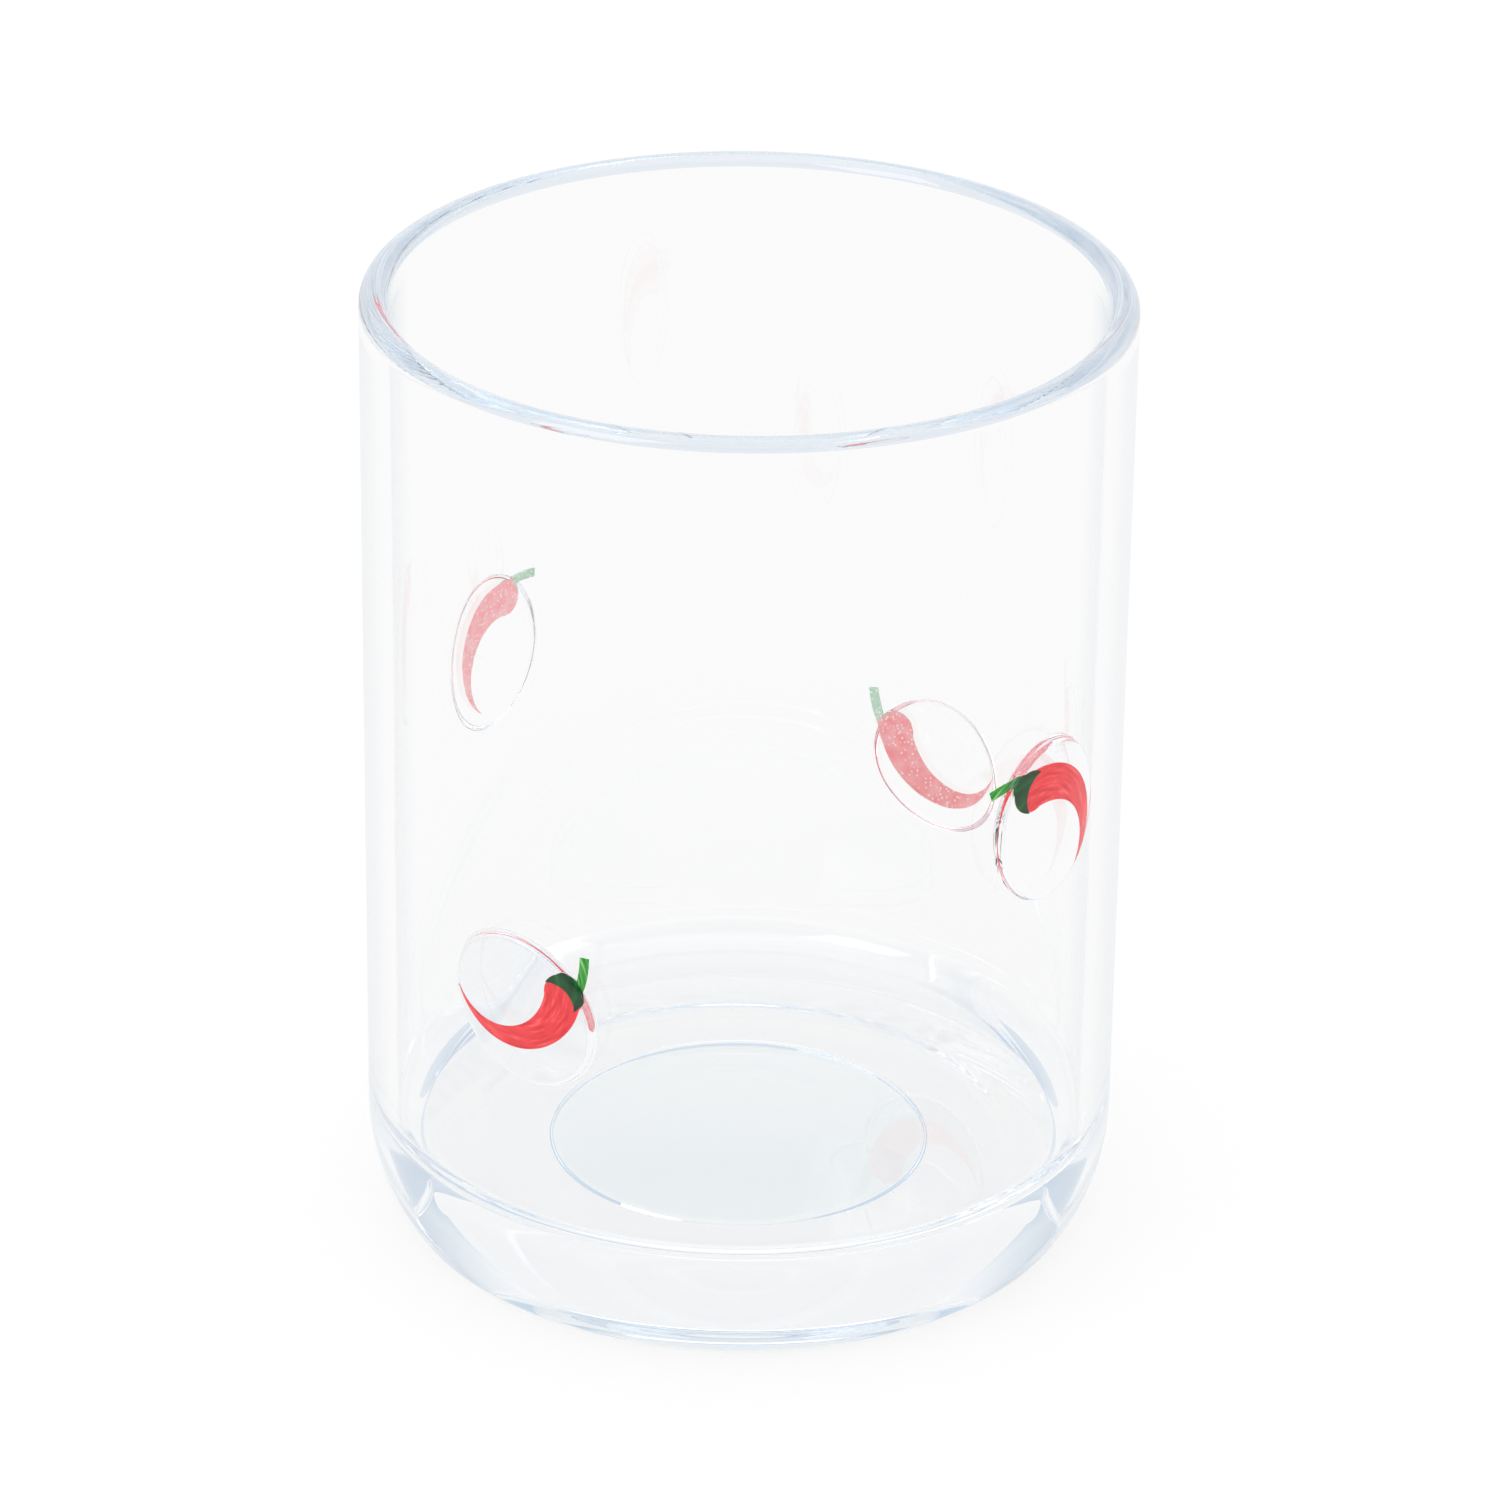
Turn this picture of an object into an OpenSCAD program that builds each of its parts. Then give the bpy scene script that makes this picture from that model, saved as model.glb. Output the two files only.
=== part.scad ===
// Straight drinking glass with four clear gems fused to its wall,
// each gem laid over a printed chili pepper.
// Millimetres, +Z up. The origin is the middle of the foot, on the table plane.
// Gem directions turn about +Z and start at the -Y side, which is the front.

/* [Which piece] */
// "all", or the name of one piece

/* [Glass] */
// outside diameter of the straight wall
body_d = 80; // [60:0.5:100]
// height from the table to the top of the lip
body_h = 104.8; // [80:0.2:140]
// wall thickness, which is also the width of the rounded lip
wall_t = 3.15; // [2:0.05:5]
// height at which the wall starts to curve in to the foot
heel_h = 11.9; // [6:0.1:16]
// how far the heel curve runs in by the time it meets the table plane
heel_in = 3.83; // [2:0.05:6]
// rounding between the heel and the foot
foot_round = 1; // [0.5:0.1:2]
// glass thickness at the middle of the base
floor_t = 11; // [6:0.1:14]
// diameter of the flat middle of the floor
floor_d = 66.4; // [50:0.2:70]
// diameter of the round recess in the middle of the underside
recess_d = 40.6; // [30:0.2:50]
// depth of the round recess
recess_h = 0.9; // [0.6:0.05:3]
// inside diameter of the ring the glass stands on
stand_d = 58; // [52:0.5:66]
// height of the underside inside that ring
stand_h = 0.2; // [0.1:0.05:0.6]

/* [Gems] */
// short diameter of a gem
gem_d = 15.2; // [12:0.1:20]
// how much longer than wide a gem is
gem_stretch = 2.6; // [0.5:0.1:6]
// height of a gem above the wall
gem_h = 2; // [1.4:0.1:5]
// radius of the crown of a gem
gem_crown_r = 32; // [20:0.5:80]
// rounding between the crown and the side of a gem
gem_edge_r = 0.9; // [0.5:0.05:2]

/* [Gem places] */
// direction of the front left gem, in degrees
front_left_angle = -33.5; // [-60:0.5:-20]
// height of the middle of the front left gem
front_left_z = 38.8; // [30:0.2:80]
// turn of the front left gem's long axis, in degrees
front_left_oval_angle = -38; // [-90:1:90]
// direction of the front right gem, in degrees
front_right_angle = 50.5; // [20:0.5:80]
// height of the middle of the front right gem
front_right_z = 57.4; // [30:0.2:80]
// turn of the front right gem's long axis, in degrees
front_right_oval_angle = 90; // [-90:1:90]
// direction of the back right gem, in degrees
back_right_angle = 144.4; // [120:0.5:170]
// height of the middle of the back right gem
back_right_z = 35.8; // [30:0.2:80]
// turn of the back right gem's long axis, in degrees
back_right_oval_angle = 0; // [-90:1:90]
// direction of the back left gem, in degrees
back_left_angle = 229; // [200:0.5:250]
// height of the middle of the back left gem
back_left_z = 51.7; // [30:0.2:80]
// turn of the back left gem's long axis, in degrees
back_left_oval_angle = 90; // [-90:1:90]

/* [Print places] */
// The middle of each pepper's bend is placed sideways and upwards from the middle of its gem.
// sideways place of the front left pepper's bend
front_left_print_x = -0.96; // [-6:0.05:6]
// upward place of the front left pepper's bend
front_left_print_z = 3.51; // [-6:0.05:6]
// turn of the front left pepper, in degrees
front_left_print_angle = 5.7; // [-180:0.5:180]
// size of the front left pepper, as a share of the full print
front_left_print_share = 0.773; // [0.7:0.01:1]
// sideways place of the front right pepper's bend
front_right_print_x = -1.6; // [-6:0.05:6]
// upward place of the front right pepper's bend
front_right_print_z = -1.91; // [-6:0.05:6]
// turn of the front right pepper, in degrees
front_right_print_angle = 112.3; // [-180:0.5:180]
// size of the front right pepper, as a share of the full print
front_right_print_share = 0.818; // [0.7:0.01:1]
// sideways place of the back right pepper's bend
back_right_print_x = -0.27; // [-6:0.05:6]
// upward place of the back right pepper's bend
back_right_print_z = 3.86; // [-6:0.05:6]
// turn of the back right pepper, in degrees
back_right_print_angle = -1.2; // [-180:0.5:180]
// size of the back right pepper, as a share of the full print
back_right_print_share = 0.848; // [0.7:0.01:1]
// sideways place of the back left pepper's bend
back_left_print_x = -2.53; // [-6:0.05:6]
// upward place of the back left pepper's bend
back_left_print_z = -0.18; // [-6:0.05:6]
// turn of the back left pepper, in degrees
back_left_print_angle = 101.6; // [-180:0.5:180]
// size of the back left pepper, as a share of the full print
back_left_print_share = 0.764; // [0.7:0.01:1]

/* [Printed pepper] */
// radius of the outer side of the pepper's bend
bend_r = 10.2; // [8:0.1:12]
// widest width of the pepper
pepper_w = 5.1; // [3:0.1:6]
// angle at which the pepper is widest
shoulder_angle = -9; // [-40:1:0]
// angle from the widest place to the tip of the tail
pepper_angle = 153; // [90:1:160]
// angle of the side that the calyx faces
calyx_angle = 45; // [20:1:80]
// how far the calyx reaches over the sides of the pepper
calyx_over = 0.25; // [0.1:0.05:0.6]
// length of the calyx along the pepper
calyx_len = 2.2; // [1:0.1:3]
// radius of the stem's own bend
stem_bend_r = 15; // [10:0.5:30]
// sideways distance from the middle of the pepper's bend to the middle of the stem's bend
stem_side = -3.9; // [-20:0.1:0]
// upward distance from the middle of the pepper's bend to the middle of the stem's bend
stem_rise = 5.6; // [2:0.1:8]
// angle covered by the stem on its own bend
stem_angle = 19; // [10:1:35]
// angle of the tip of the stem
stem_tip_angle = -5; // [-15:1:15]
// width of the stem
stem_w = 1.25; // [0.8:0.05:2]
// thickness of the pale print behind the colours
backing_t = 0.1; // [0.05:0.01:0.3]
// thickness of the coloured print
colour_t = 0.1; // [0.05:0.01:0.3]

/* [Hidden] */
// steps in a full circle of the drawn mesh
$fn = 100;
// clear run of a cutting or crossing shape past the face it meets
overrun = 5;
// the same for an angle
overrun_angle = 5;
// share of the pepper's width that curves the mouth of the calyx
mouth_share = 0.68;
// share of the pepper's half width that the round shoulder takes
shoulder_share = 1.05;

body_r = body_d / 2;
bore_r = body_r - wall_t;
lip_r = wall_t / 2;

// The heel is one arc, tangent to the wall, through the foot plane at heel_in.
heel_r = (heel_h * heel_h + heel_in * heel_in) / (2 * heel_in);
heel_x = body_r - heel_r;
// The foot rounding lies inside the heel arc and on the table plane.
foot_reach = sqrt(pow(heel_r - foot_round, 2) - pow(heel_h - foot_round, 2));
foot_x = heel_x + foot_reach;
foot_meet_x = heel_x + foot_reach * heel_r / (heel_r - foot_round);
foot_meet_z = heel_h - (heel_h - foot_round) * heel_r / (heel_r - foot_round);

floor_r = floor_d / 2;
bowl_r = bore_r - floor_r;

gem_r = gem_d / 2;
// The edge rounding lies inside the crown and touches the side of the gem.
edge_x = gem_r - gem_edge_r;
edge_reach = sqrt(pow(gem_crown_r - gem_edge_r, 2) - edge_x * edge_x);
edge_z = gem_h - gem_crown_r + edge_reach;
gem_root = overrun;

// Each place: direction, height and turn of the gem, then side, rise, turn and size of the print.
front_left = [front_left_angle, front_left_z, front_left_oval_angle, front_left_print_x,
    front_left_print_z, front_left_print_angle, front_left_print_share];
front_right = [front_right_angle, front_right_z, front_right_oval_angle, front_right_print_x,
    front_right_print_z, front_right_print_angle, front_right_print_share];
back_right = [back_right_angle, back_right_z, back_right_oval_angle, back_right_print_x,
    back_right_print_z, back_right_print_angle, back_right_print_share];
back_left = [back_left_angle, back_left_z, back_left_oval_angle, back_left_print_x,
    back_left_print_z, back_left_print_angle, back_left_print_share];

print_r = body_r + backing_t + colour_t;
shoulder_r = bend_r - pepper_w / 2;
// Offset of the inner circle that brings the crescent to a point after pepper_angle.
inner_off = pepper_w * (bend_r - pepper_w / 2) / ((1 - cos(pepper_angle)) * bend_r - pepper_w);
inner_r = bend_r + inner_off - pepper_w;
calyx_r = pepper_w / 2 + calyx_over;
mouth_r = pepper_w * mouth_share;
mouth_off = mouth_r - calyx_r + calyx_len;

glass_colour = [0.93, 0.97, 0.98, 0.35];
gem_colour = [0.96, 0.98, 1, 0.4];
backing_colour = [0.97, 0.94, 0.93];
pepper_colour = [0.92, 0.2, 0.22];
calyx_colour = [0.03, 0.38, 0.13];
stem_colour = [0.3, 0.68, 0.27];

// A point at a distance and an angle from the origin of a sketch.
function polar(r, a) = [r * cos(a), r * sin(a)];

// Half of the glass, filled: foot, heel, straight wall and lip, without the cavity.
module outer_half() {
    translate([0, foot_meet_z])
        square([heel_x, heel_h - foot_meet_z]);
    intersection() {
        translate([heel_x, heel_h])
            circle(heel_r);
        translate([0, foot_meet_z])
            square([body_r, heel_h - foot_meet_z]);
    }
    polygon([[0, 0], [foot_x, 0], [foot_x, foot_round],
        [foot_meet_x, foot_meet_z], [0, foot_meet_z]]);
    translate([foot_x, foot_round])
        circle(foot_round);
    translate([0, heel_h])
        square([body_r, body_h - lip_r - heel_h]);
}

// Half of the cavity: flat middle, round bowl and straight bore.
module cavity_half() {
    translate([0, floor_t])
        square([floor_r, bowl_r]);
    intersection() {
        translate([floor_r, floor_t + bowl_r])
            circle(bowl_r);
        translate([0, floor_t])
            square([bore_r, bowl_r]);
    }
    translate([0, floor_t + bowl_r])
        square([bore_r, body_h + overrun]);
}

module tumbler_body() {
    color(glass_colour)
        rotate_extrude() {
            difference() {
                outer_half();
                cavity_half();
                translate([0, -overrun])
                    square([recess_d / 2, overrun + recess_h]);
                translate([0, -overrun])
                    square([stand_d / 2, overrun + stand_h]);
            }
            translate([body_r - lip_r, body_h - lip_r])
                circle(lip_r);
        }
}

// Places a sketch or a gem on the wall: x to the right as seen from outside, y up, z outwards.
module on_wall(place) {
    translate([0, 0, place[1]])
        rotate([0, 0, place[0]])
            rotate([90, 0, 0])
                children();
}

// Half of the gem section: side, rounded edge and crown.
module gem_half() {
    intersection() {
        translate([0, gem_h - gem_crown_r])
            circle(gem_crown_r);
        union() {
            translate([edge_x, edge_z])
                circle(gem_edge_r);
            polygon([[0, -gem_root], [gem_r, -gem_root], [gem_r, edge_z], [edge_x, edge_z],
                [edge_x, edge_z] + polar(gem_edge_r + overrun, asin(edge_reach
                    / (gem_crown_r - gem_edge_r))),
                [0, gem_h + overrun]]);
        }
        translate([0, -gem_root])
            square([gem_r, gem_root + gem_h + overrun]);
    }
}

// Oval gem along the X axis: a round gem, parted in the middle and drawn out.
module gem_oval() {
    translate([gem_stretch / 2, 0, 0])
        rotate([0, 0, -90])
            rotate_extrude(angle = 180)
                gem_half();
    translate([-gem_stretch / 2, 0, 0])
        rotate([0, 0, 90])
            rotate_extrude(angle = 180)
                gem_half();
    translate([-gem_stretch / 2, 0, 0])
        rotate([90, 0, 90])
            linear_extrude(gem_stretch) {
                gem_half();
                mirror([1, 0])
                    gem_half();
            }
}

// One gem, without the room for the print under it.
module gem_blank(place) {
    difference() {
        on_wall(place)
            translate([0, 0, body_r])
                rotate([0, 0, place[2]])
                    gem_oval();
        cylinder(h = body_h, r = body_r);
    }
}

// Fan-shaped mask about the origin of a sketch, from one angle to another.
module fan(from, to, reach) {
    polygon([[0, 0], for (i = [0:3]) polar(reach, from + (to - from) * i / 3)]);
}

// Red body of the pepper: half of a crescent, closed by a round shoulder.
module body_sketch() {
    intersection() {
        difference() {
            circle(bend_r);
            translate(polar(-inner_off, shoulder_angle))
                circle(inner_r);
        }
        fan(shoulder_angle - pepper_angle - overrun_angle, shoulder_angle, bend_r + overrun);
    }
    translate(polar(shoulder_r, shoulder_angle))
        circle(pepper_w / 2 * shoulder_share);
}

// Green cap over the round shoulder.
module calyx_sketch() {
    difference() {
        translate(polar(shoulder_r, shoulder_angle))
            circle(calyx_r);
        translate(polar(shoulder_r, shoulder_angle) + polar(-mouth_off, calyx_angle))
            circle(mouth_r);
    }
}

// Stem, bent on a circle of its own.
module stem_sketch() {
    translate([stem_side, stem_rise])
        intersection() {
            difference() {
                circle(stem_bend_r + stem_w / 2);
                circle(stem_bend_r - stem_w / 2);
            }
            fan(stem_tip_angle - stem_angle, stem_tip_angle, stem_bend_r + overrun);
        }
}

// Everything that is printed, as one outline.
module print_sketch() {
    body_sketch();
    calyx_sketch();
    stem_sketch();
}

// A sketch of the print as a solid that crosses the wall.
module through_wall(place) {
    on_wall(place)
        translate([0, 0, body_r - overrun])
            translate([place[3], place[4], 0])
                rotate([0, 0, place[5]])
                    linear_extrude(2 * overrun)
                        scale(place[6])
                            children();
}

// A film that follows the wall between two radii.
module film(place, r_in, r_out) {
    difference() {
        intersection() {
            through_wall(place)
                children();
            cylinder(h = body_h, r = r_out);
        }
        cylinder(h = body_h, r = r_in);
    }
}

module gem(place) {
    color(gem_colour)
        difference() {
            gem_blank(place);
            intersection() {
                through_wall(place)
                    print_sketch();
                cylinder(h = body_h, r = print_r);
            }
        }
}

module backing(place) {
    color(backing_colour)
        film(place, body_r, body_r + backing_t)
            print_sketch();
}

module pepper(place) {
    color(pepper_colour)
        film(place, body_r + backing_t, print_r)
            difference() {
                body_sketch();
                calyx_sketch();
            }
}

module calyx(place) {
    color(calyx_colour)
        film(place, body_r + backing_t, print_r)
            calyx_sketch();
}

module stem(place) {
    color(stem_colour)
        film(place, body_r + backing_t, print_r)
            difference() {
                stem_sketch();
                calyx_sketch();
                body_sketch();
            }
}

module gem_front_left() { gem(front_left); }
module backing_front_left() { backing(front_left); }
module pepper_front_left() { pepper(front_left); }
module calyx_front_left() { calyx(front_left); }
module stem_front_left() { stem(front_left); }

module gem_front_right() { gem(front_right); }
module backing_front_right() { backing(front_right); }
module pepper_front_right() { pepper(front_right); }
module calyx_front_right() { calyx(front_right); }
module stem_front_right() { stem(front_right); }

module gem_back_right() { gem(back_right); }
module backing_back_right() { backing(back_right); }
module pepper_back_right() { pepper(back_right); }
module calyx_back_right() { calyx(back_right); }
module stem_back_right() { stem(back_right); }

module gem_back_left() { gem(back_left); }
module backing_back_left() { backing(back_left); }
module pepper_back_left() { pepper(back_left); }
module calyx_back_left() { calyx(back_left); }
module stem_back_left() { stem(back_left); }

tumbler_body();
gem_front_left();
backing_front_left();
pepper_front_left();
calyx_front_left();
stem_front_left();
gem_front_right();
backing_front_right();
pepper_front_right();
calyx_front_right();
stem_front_right();
gem_back_right();
backing_back_right();
pepper_back_right();
calyx_back_right();
stem_back_right();
gem_back_left();
backing_back_left();
pepper_back_left();
calyx_back_left();
stem_back_left();
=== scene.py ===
# %% [markdown]
# # A drinking glass with fused gems
# This lesson dresses a straight drinking glass. Four clear glass gems are fused to its wall, and each one
# covers a small printed chili pepper. The solids come from a CAD model that gives every place and size.
# Nothing here moves or resizes them. The clear pieces are made again with smoother curves than CAD
# triangles have, and every piece gets the finish of the real thing.
#
# Almost all that the eye reads in clear glass is light that the shape bends. So most of the care goes
# to the outline of the glass, to the way the gems join the wall, and to what stands round the glass.

# %% Load the CAD frame
import math

import bpy
from mathutils import Matrix, Vector


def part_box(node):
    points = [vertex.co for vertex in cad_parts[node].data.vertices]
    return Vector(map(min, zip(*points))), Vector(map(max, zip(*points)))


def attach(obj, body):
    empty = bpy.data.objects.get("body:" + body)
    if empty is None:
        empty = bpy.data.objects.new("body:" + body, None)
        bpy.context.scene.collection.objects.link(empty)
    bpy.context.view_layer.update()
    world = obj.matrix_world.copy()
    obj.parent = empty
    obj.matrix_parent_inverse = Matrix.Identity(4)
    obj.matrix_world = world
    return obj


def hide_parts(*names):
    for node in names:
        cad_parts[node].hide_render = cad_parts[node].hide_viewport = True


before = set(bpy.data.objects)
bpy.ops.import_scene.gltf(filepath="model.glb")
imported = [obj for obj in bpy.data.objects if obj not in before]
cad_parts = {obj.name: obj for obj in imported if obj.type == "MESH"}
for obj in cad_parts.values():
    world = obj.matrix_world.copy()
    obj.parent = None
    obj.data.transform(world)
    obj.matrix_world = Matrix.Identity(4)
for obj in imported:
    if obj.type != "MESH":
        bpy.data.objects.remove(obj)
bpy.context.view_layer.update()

# %% [markdown]
# ## Sizes
# Glass makers work in millimetres and Blender works in metres, so each length of the glass is written in
# millimetres and multiplied once by `MM`. The outer radius and the height come from the CAD model, and
# the rest repeats the values that the solids were made from. Only the gems are a little lower here than
# their solids: a real gem slumps as it fuses, and a low crown bends the print under it less.

# %% Sizes of the glass
MM = 0.001

top_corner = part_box("tumbler_body")[1]
body_r = top_corner.x
body_h = top_corner.z
wall_t = 3.15 * MM
bore_r = body_r - wall_t
lip_r = wall_t / 2
heel_h = 11.9 * MM
heel_in = 3.83 * MM
foot_round = 1.0 * MM
floor_t = 11.0 * MM
floor_r = 33.2 * MM
recess_r = 20.3 * MM
recess_h = 0.9 * MM
stand_r = 29.0 * MM
stand_h = 0.2 * MM
print(f"glass: {2000 * body_r:.1f} mm wide, {1000 * body_h:.1f} mm tall, wall {1000 * wall_t:.2f} mm")

# %% Sizes of the gems
gem_a = 8.9 * MM
gem_squash = 15.2 / 17.8
gem_h = 1.4 * MM
crown_r = 60.0 * MM
edge_r = 0.6 * MM
# The hot gem wets the wall, which leaves a small hollow curve round its foot.
wetting_r = 0.35 * MM
print(f"gems: {2000 * gem_a:.1f} by {2000 * gem_a * gem_squash:.1f} mm, {1000 * gem_h:.1f} mm high")

# %% Places of the gems and their prints
# Directions turn about +Z and start at the front. Oval is the turn of the gem's long axis. Print is the
# place of the middle of the pepper's bend, sideways and upwards from the middle of the gem, and turn and
# share are the turn and the size of the printed pepper.
places = {
    "front_left": {"direction": -33.5, "height": 38.8 * MM, "oval": -38,
                   "print": (-0.96 * MM, 3.51 * MM), "turn": 5.7, "share": 0.773},
    "front_right": {"direction": 50.5, "height": 57.4 * MM, "oval": 90,
                    "print": (-1.6 * MM, -1.91 * MM), "turn": 112.3, "share": 0.818},
    "back_right": {"direction": 144.4, "height": 35.8 * MM, "oval": 0,
                   "print": (-0.27 * MM, 3.86 * MM), "turn": -1.2, "share": 0.848},
    "back_left": {"direction": 229.0, "height": 51.7 * MM, "oval": 90,
                  "print": (-2.53 * MM, -0.18 * MM), "turn": 101.6, "share": 0.764},
}
print("gems:", ", ".join(places))

# %% [markdown]
# ## Turning a profile
# A drinking glass is a body of revolution: hot glass is pressed or blown while the mould turns. The same
# is true of the gem before it is squeezed to an oval. In Blender such a shape is one outline, drawn by
# extruding a single point, which Spin then turns about the axis. Spin leaves its first and last row on
# top of each other, so Merge by Distance closes the seam and the poles, and the faces are then turned
# outwards.
#
# Two things matter for glass. Each curve needs enough points, because light shows every corner. And a
# flat run needs a supporting row close to each of its ends. Without it, smooth shading tilts the normal
# along the whole run, and what is seen through it bends.

# %% Helpers for outlines
# Distance of a supporting row from the end of its flat run.
support_gap = 0.15 * MM


def arc(centre, radius, start, stop, steps):
    """Points along an arc, from one angle in degrees to another."""
    angles = [math.radians(start + (stop - start) * i / steps) for i in range(steps + 1)]
    return [(centre[0] + radius * math.cos(a), centre[1] + radius * math.sin(a)) for a in angles]


def ease(start, stop, steps):
    """Points along a soft step from one point to another."""
    shares = [(1 - math.cos(math.pi * i / steps)) / 2 for i in range(steps + 1)]
    return [(start[0] + (stop[0] - start[0]) * i / steps, start[1] + (stop[1] - start[1]) * share)
            for i, share in enumerate(shares)]


def run(start, stop, rows=1):
    """Points between two curves: a supporting point near each end and evenly spread rows between."""
    a, b = Vector(start), Vector(stop)
    step = (b - a).normalized() * support_gap
    inner = [(a + step).lerp(b - step, i / rows) for i in range(rows + 1)]
    return [tuple(point) for point in inner]


# %% Helper that turns an outline
# One sector is spun in fine steps, and the rest are copies of it, which is much quicker.
SECTORS = 16
weld = 0.002 * MM


def deselect_all():
    bpy.ops.object.select_all(action="DESELECT")


def turn_profile(name, outline, steps):
    """Extrudes one point along an outline of (radius, height) and spins it about the Z axis."""
    deselect_all()
    bpy.ops.mesh.primitive_plane_add(size=MM, location=(0, 0, 0))
    piece = bpy.context.object
    piece.name = piece.data.name = name
    bpy.ops.object.mode_set(mode="EDIT")
    bpy.ops.mesh.merge(type="CENTER")
    at = Vector((0, 0))
    for i, point in enumerate(outline):
        move = (point[0] - at[0], 0, point[1] - at[1])
        if i == 0:
            bpy.ops.transform.translate(value=move)
        else:
            bpy.ops.mesh.extrude_vertices_move(TRANSFORM_OT_translate={"value": move})
        at = Vector(point)
    bpy.ops.mesh.select_all(action="SELECT")
    bpy.ops.mesh.spin(steps=steps // SECTORS, angle=math.tau / SECTORS, axis=(0, 0, 1))
    bpy.ops.mesh.select_all(action="SELECT")
    bpy.ops.mesh.spin(steps=SECTORS - 1, angle=math.tau * (SECTORS - 1) / SECTORS, axis=(0, 0, 1),
                      dupli=True)
    bpy.ops.mesh.select_all(action="SELECT")
    bpy.ops.mesh.remove_doubles(threshold=weld)
    bpy.ops.mesh.normals_make_consistent(inside=False)
    bpy.ops.object.mode_set(mode="OBJECT")
    bpy.ops.object.shade_smooth()
    print(f"{name}: {len(outline)} points turned in {steps} steps, {len(piece.data.polygons)} faces")
    return piece


# %% [markdown]
# ## The glass
# The wall is a straight cylinder. Near the table it runs into a wide heel arc and then a small rounding,
# on which the glass stands. The lip is fire polished: a flame melts the cut edge and surface tension
# pulls it to a half circle. The floor is thick and flat, and the underside has a shallow round recess
# with soft edges, as a press leaves it. Its roof is domed by six tenths of a millimetre, which keeps the
# base bright, because a dead flat one mirrors the grey of the room. The outline below goes once round the
# section: underside, foot, heel, outer wall, lip, bore and floor.

# %% Outline of the glass
heel_r = (heel_h ** 2 + heel_in ** 2) / (2 * heel_in)
heel_x = body_r - heel_r
foot_reach = math.sqrt((heel_r - foot_round) ** 2 - (heel_h - foot_round) ** 2)
foot_x = heel_x + foot_reach
foot_turn = -math.degrees(math.atan2(heel_h - foot_round, foot_reach))
bowl_r = bore_r - floor_r
recess_soft = 0.18 * MM
stand_soft = 1.5 * MM
# The roof of the recess is a very shallow dome, and this is its slope at the edge in degrees.
dome_slope = 3.5
dome_r = (recess_r - recess_soft) / math.sin(math.radians(dome_slope))
dome_z = recess_h - dome_r * math.cos(math.radians(dome_slope))
# Points along each curve, and steps round the axis.
dome_points, recess_points, stand_points, foot_points = 24, 14, 8, 8
heel_points, lip_points, bowl_points, wall_rows = 40, 32, 28, 22
glass_steps = 480

underside = (
    arc((0, dome_z), dome_r, 90, 90 - dome_slope, dome_points)
    + ease((recess_r - recess_soft, recess_h), (recess_r + recess_soft, stand_h), recess_points)[1:]
    + run((recess_r + recess_soft, stand_h), (stand_r - stand_soft, stand_h))
    + ease((stand_r - stand_soft, stand_h), (stand_r + stand_soft, 0), stand_points)
)
heel = (
    run((stand_r + stand_soft, 0), (foot_x, 0))
    + arc((foot_x, foot_round), foot_round, -90, foot_turn, foot_points)
    + arc((heel_x, heel_h), heel_r, foot_turn, 0, heel_points)[1:]
)
wall = run((body_r, heel_h), (body_r, body_h - lip_r), rows=wall_rows)
lip = arc((body_r - lip_r, body_h - lip_r), lip_r, 0, 180, lip_points)
bore = run((bore_r, body_h - lip_r), (bore_r, floor_t + bowl_r))
bowl = arc((floor_r, floor_t + bowl_r), bowl_r, 0, -90, bowl_points)
cavity_floor = run((floor_r, floor_t), (0, floor_t)) + [(0, floor_t)]

outline = underside + heel + wall + lip + bore + bowl + cavity_floor
glass = turn_profile("clear_tumbler", outline, glass_steps)

# %% [markdown]
# ## The gems
# A gem is a drop of clear glass, pressed in a round die and then squeezed a little to an oval while it is
# soft. Laid hot on the wall, all of it sags on to the curve, and its foot wets the wall. One gem is turned
# from its own profile. Each copy is squeezed, turned to its own angle and lowered on to the cylinder point
# by point. The foot follows the wall exactly, so it has no gap, and the crown gives way by half as much.
#
# The crown is nearly flat over the pepper and the edge is round and quick. A steeper crown would throw the
# red of the print across the whole gem.

# %% Turn one gem
edge_x = gem_a - edge_r
edge_z = gem_h - crown_r + math.sqrt((crown_r - edge_r) ** 2 - edge_x ** 2)
crown_end = math.degrees(math.atan2(edge_z - gem_h + crown_r, edge_x))
crown_points, edge_points, wetting_points, seat_rings = 26, 20, 8, 12
gem_steps = 160

crown = arc((0, gem_h - crown_r), crown_r, 90, crown_end, crown_points)
gem_edge = arc((edge_x, edge_z), edge_r, crown_end, 0, edge_points)[1:]
wetting = arc((gem_a + wetting_r, wetting_r), wetting_r, 180, 270, wetting_points)
seat = [((gem_a + wetting_r) * (1 - i / seat_rings), 0) for i in range(1, seat_rings + 1)]

gem_blank = turn_profile("gem_blank", crown + gem_edge + wetting + seat, gem_steps)

# %% Place a copy of the gem on the wall
# Share of the wall's curve that the top of the crown doesn't take.
crown_hold = 0.5
# A face whose normal points down more than this belongs to the seat.
seat_down = -0.5
# Faces that meet at less than this angle are shaded as one smooth surface.
smooth_below = math.radians(60)
quarter_turn = math.radians(90)


def wall_sag(x):
    """Height of the wall over the plane that touches it in the middle of the gem."""
    return math.sqrt(body_r ** 2 - x ** 2) - body_r


def settled(point):
    """A point of the gem, lowered with the wall, and by less the higher it lies over its foot."""
    point.z += wall_sag(point.x) * (1 - crown_hold * point.z / gem_h)
    return point


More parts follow.
